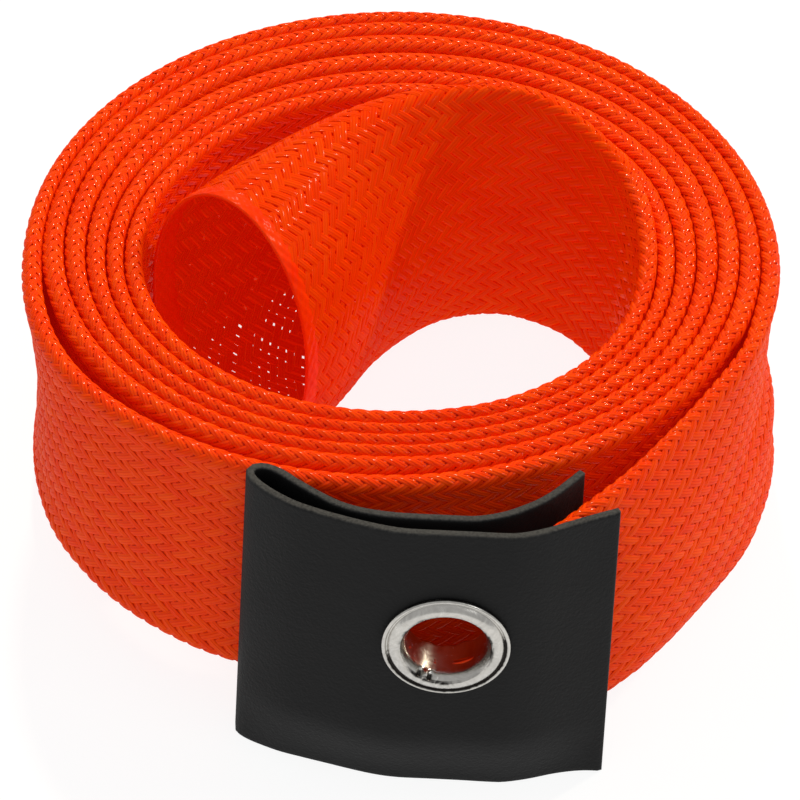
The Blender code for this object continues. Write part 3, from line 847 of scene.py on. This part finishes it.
# The eyelet, turned about its own axis. Radius, and height above the tag's front face.
FLANGE = (
    (8.50, 0.15), (8.50, 0.42), (8.42, 0.60), (8.25, 0.68), (8.06, 0.62), (7.94, 0.45),
    (7.82, 0.28), (7.70, 0.40), (7.52, 0.66), (7.26, 0.90), (6.92, 1.05), (6.52, 1.12),
    (6.18, 1.10), (6.02, 0.98), (5.95, 0.86), (5.86, 0.74), (5.72, 0.50), (5.58, 0.24),
    (5.46, 0.00), (5.40, -0.24), (5.38, -0.60), (5.38, -3.40), (5.38, -4.90),
)
ROLLED_END = ((5.42, -5.20), (5.54, -5.48), (5.82, -5.60), (6.15, -5.45), (6.40, -5.15))
SHANK = ((6.25, -5.00), (5.75, -4.95), (5.57, -4.60), (5.57, -1.0), (5.57, 0.05), (5.80, 0.15))
# Where painted shade darkens it: the groove inside the edge, most of it low down, and the inner
# step.
GROOVE_POINTS = (4, 8)
GROOVE_MIDDLE_DEG = 285.0
GROOVE_REACH_DEG = 105.0
STEP_POINTS = (12, 15)
STEP_PAINTED_SHADE = 0.55
WASHER = (
    (5.75, -4.40), (7.00, -4.40), (7.18, -4.48), (7.20, -4.60), (7.05, -4.76), (6.60, -4.86),
    (6.10, -4.86), (5.75, -4.78),
)
TURNED_STEPS = 180
PETALS = 7
# A crushed spot on the lip round the hole, low on the left.
DENT_AT_DEG = 243.0
DENT_WIDE_DEG = 9.0
DENT_IN = 0.6
DENT_POINTS = (12, 20)
DENT_RIPPLE = 3.2
PETAL_IN = 0.16
PETAL_UP = 0.22


def hollows(angle, creased, from_dent):
    """Painted shade on the eyelet by angle and place on its outline, and in the dent's creases."""
    hollow = np.zeros((len(angle), len(creased)))
    from_middle = np.abs((np.degrees(angle) - GROOVE_MIDDLE_DEG + 180) % 360 - 180)
    low_down = 1 - smoothstep(0.75 * GROOVE_REACH_DEG, GROOVE_REACH_DEG, from_middle)
    groove, step = slice(*GROOVE_POINTS), slice(*STEP_POINTS)
    hollow[:, groove] = low_down * np.sin(np.linspace(0.15, 0.85, 4) * math.pi)
    hollow[:, step] = STEP_PAINTED_SHADE * (0.6 + 0.4 * np.sin(3 * angle + 1.0))
    # Painted shade in the creases of the dent.
    folds = np.exp(-(from_dent**2)) * np.clip(-np.cos(DENT_RIPPLE * from_dent), 0.0, 1.0)
    return np.maximum(hollow, 2.2 * folds * creased)


def turned(name, outline, material, ragged=()):
    """A closed ring turned about the eyelet's axis, its rolled end split into uneven petals."""
    angle = np.linspace(0, 2 * math.pi, TURNED_STEPS, endpoint=False)[:, None]
    outline = np.asarray(outline, float)
    radius = outline[None, :, 0] + 0 * angle
    height = outline[None, :, 1] + 0 * angle
    hollow = np.zeros(radius.shape)
    if ragged:
        low, high = ragged
        share = np.zeros(len(outline))
        share[low:high] = np.sin(np.linspace(0, math.pi, high - low))
        split = 0.5 * np.sin(PETALS * angle) + 0.3 * np.sin(2 * PETALS * angle + 1.0)
        split = split + 0.25 * np.sin(3 * angle + 2.0)
        radius += PETAL_IN * split * share
        height += PETAL_UP * split * share
        from_dent = (np.degrees(angle) - DENT_AT_DEG) / DENT_WIDE_DEG
        creased = np.zeros(len(outline))
        dented = slice(*DENT_POINTS)
        creased[dented] = np.sin(np.linspace(0, math.pi, DENT_POINTS[1] - DENT_POINTS[0]))
        crease = np.exp(-(from_dent**2)) * np.cos(DENT_RIPPLE * from_dent)
        radius -= DENT_IN * crease * creased
        height += 0.5 * DENT_IN * crease * creased
        hollow = hollows(angle, creased, from_dent)
    points = np.stack(
        [
            EYELET_AT[0] + radius * np.cos(angle),
            EYELET_AT[1] - height,
            EYELET_AT[2] + radius * np.sin(angle),
        ],
        axis=-1,
    )
    faces = tube_faces(len(outline), TURNED_STEPS)
    points = points.transpose(1, 0, 2)
    closing = np.arange(TURNED_STEPS)
    last = (len(outline) - 1) * TURNED_STEPS
    seam = np.stack(
        [last + closing, last + np.roll(closing, -1), np.roll(closing, -1), closing], axis=-1
    )
    # The painted shade goes on the ring as a point attribute.
    shade = {"hollow": np.clip(hollow, 0.0, 1.0).T}
    ring = add_mesh(name, points.reshape(-1, 3), np.vstack([faces, seam]), material, shade)
    turn_faces_out(ring)
    return ring


# Stage and camera. The floor is near white by itself, so that only a faint shadow falls on it.
FLOOR_GREY = 0.17
FLOOR_GLOW = 0.88
FLOOR_WIDE = 4.0


def floor():
    bpy.ops.mesh.primitive_plane_add(size=FLOOR_WIDE, location=(0, 0, 0))
    plane = bpy.context.object
    plane.name = "floor"
    material, nodes, links, shader = new_material("floor_white")
    shader.inputs["Base Color"].default_value = (FLOOR_GREY, FLOOR_GREY, FLOOR_GREY, 1.0)
    shader.inputs["Emission Color"].default_value = (1.0, 1.0, 1.0, 1.0)
    shader.inputs["Emission Strength"].default_value = FLOOR_GLOW
    shader.inputs["Roughness"].default_value = 0.9
    shader.inputs["Specular IOR Level"].default_value = 0.1
    plane.data.materials.append(material)


WARM = (1.0, 0.88, 0.68)
LIGHTS_AIM = (0, 0, 0.02)


def area_light(name, at, size, power, color=(1, 1, 1)):
    """A square light aimed at the middle of the coil."""
    data = bpy.data.lights.new(name, "AREA")
    data.shape = "RECTANGLE"
    data.size = data.size_y = size
    data.energy = power
    data.color = color
    light = bpy.data.objects.new(name, data)
    bpy.context.scene.collection.objects.link(light)
    light.location = at
    aim = Vector(LIGHTS_AIM) - Vector(at)
    light.rotation_euler = aim.to_track_quat("-Z", "Y").to_euler()


def lighting():
    """An even white room, one soft light, and two small warm ones that make the glints."""
    world = bpy.data.worlds.new("studio")
    bpy.context.scene.world = world
    world.use_nodes = True
    background = world.node_tree.nodes["Background"]
    background.inputs["Color"].default_value = (1.0, 1.0, 1.0, 1.0)
    background.inputs["Strength"].default_value = 0.55
    area_light("key", (0.5, -0.25, 0.6), 0.2, 0.5)
    area_light("rim", (0.55, 0.42, 0.42), 0.055, 2.8, WARM)
    area_light("top", (-0.06, 0.52, 0.66), 0.055, 3.8, WARM)
    view = bpy.context.scene.view_settings
    view.view_transform = "Standard"
    view.look = "None"


CAMERA_ELEVATION = 41.0
CAMERA_DISTANCE = 630.0
CAMERA_LENS = 200.7
CAMERA_ROLL = 2.7
CAMERA_TARGET = (0.0, 0.0, 18.0)
# The target sits this far above the picture's middle, as a share of the distance.
CAMERA_RAISE = 0.01278


def camera():
    """From the photograph's angle, stated in the coil's own frame."""
    tilt, roll = math.radians(CAMERA_ELEVATION), math.radians(CAMERA_ROLL)
    ahead = Vector((0, math.cos(tilt), -math.sin(tilt)))
    right, up = Vector((1, 0, 0)), Vector((0, math.sin(tilt), math.cos(tilt)))
    at = Vector(CAMERA_TARGET) - CAMERA_DISTANCE * ahead
    camera_up = up * math.cos(roll) - right * math.sin(roll)
    look = (ahead - CAMERA_RAISE * camera_up).normalized()
    side = look.cross(camera_up).normalized()
    camera_up = side.cross(look)
    data = bpy.data.cameras.new("camera")
    data.lens = CAMERA_LENS
    data.sensor_width = 36.0
    data.clip_start = 0.01
    obj = bpy.data.objects.new("camera", data)
    bpy.context.scene.collection.objects.link(obj)
    turn = ROW.to_3x3() @ Matrix((side, camera_up, -look)).transposed()
    obj.matrix_world = Matrix.Translation(ROW @ (at * MM)) @ turn.to_4x4()
    bpy.context.scene.camera = obj


def place(piece, body, slot, *nodes):
    """Puts a piece on a body, in place of the nodes it stands for. The slot argument is not used.
    """
    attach(piece, body)
    if nodes:
        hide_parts(*nodes)


# The sleeve's pieces meet at these angles wound on.
TAIL_SPLIT = 86.0
TAIL_LINED_FROM = 6.0
MOUTH_SPLIT = 2272.0
MOUTH_MIDDLE = 2312.0
MOUTH_LINED_TO = COIL_TO_DEG + 6
COIL_PIECES = 9


def build():
    """Every piece, in order."""
    orange = braid_material("orange_braid", 1.0, 0.08, 1.0, 0.00008, 0.5, 0.15)
    inside = lining_material()
    # The stretched mouth's copy: a darker base, partly for its thinner spread yarns and partly
    # painted shade for the inside of the mouth, and five times the painted glow.
    open_orange = braid_material("orange_braid_open", 0.82, 0.4, 0.36, 0.00005, 0.25, 0.06)
    tail_end, mouth_start = row_at(TAIL_SPLIT), row_at(MOUTH_SPLIT)
    rim = len(ROWS) - 1

    tail = braid("sleeve_tail_braid", 0, tail_end, shows_on_tail, False, orange)
    tail_inside = lining("sleeve_tail_lining", row_at(TAIL_LINED_FROM), tail_end, inside)
    for piece in (tail, tail_inside):
        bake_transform(piece)
    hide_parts("sleeve_tail")

    ends = np.linspace(tail_end, mouth_start, COIL_PIECES + 1).astype(int)
    for number, (first, last) in enumerate(zip(ends, ends[1:]), 1):
        piece = braid(f"sleeve_coil_braid_{number}", first, last, shows_on_coil, False, orange)
        place(piece, "coil", "orange_braid", "sleeve_coil")
    coil_inside = lining("sleeve_coil_lining", tail_end, mouth_start, inside)
    place(coil_inside, "coil", "orange_braid")

    middle = row_at(MOUTH_MIDDLE)
    root = braid("sleeve_mouth_braid_1", mouth_start, middle, shows_all, True, open_orange)
    mouth = braid("sleeve_mouth_braid_2", middle, rim, shows_all, True, open_orange)
    mouth_inside = lining("sleeve_mouth_lining", mouth_start, row_at(MOUTH_LINED_TO), inside)
    for piece in (root, mouth, mouth_inside):
        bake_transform(piece)
    for piece in (root, mouth):
        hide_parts("sleeve_mouth")
    place(mouth_hem(hem_material()), "mouth", "orange_hem", "mouth_hem")

    tag = end_tag(tag_material())
    place(tag, "tail", "black_tag", "end_tag")
    nickel = eyelet_material()
    ring = FLANGE + ROLLED_END + SHANK
    petals = (len(FLANGE) - 1, len(FLANGE) + len(ROLLED_END) + 1)
    place(turned("eyelet_turned", ring, nickel, petals), "tail", "nickel", "eyelet_barrel")
    place(turned("washer_turned", WASHER, nickel), "tail", "nickel", "eyelet_washer")


build()
floor()
lighting()
camera()
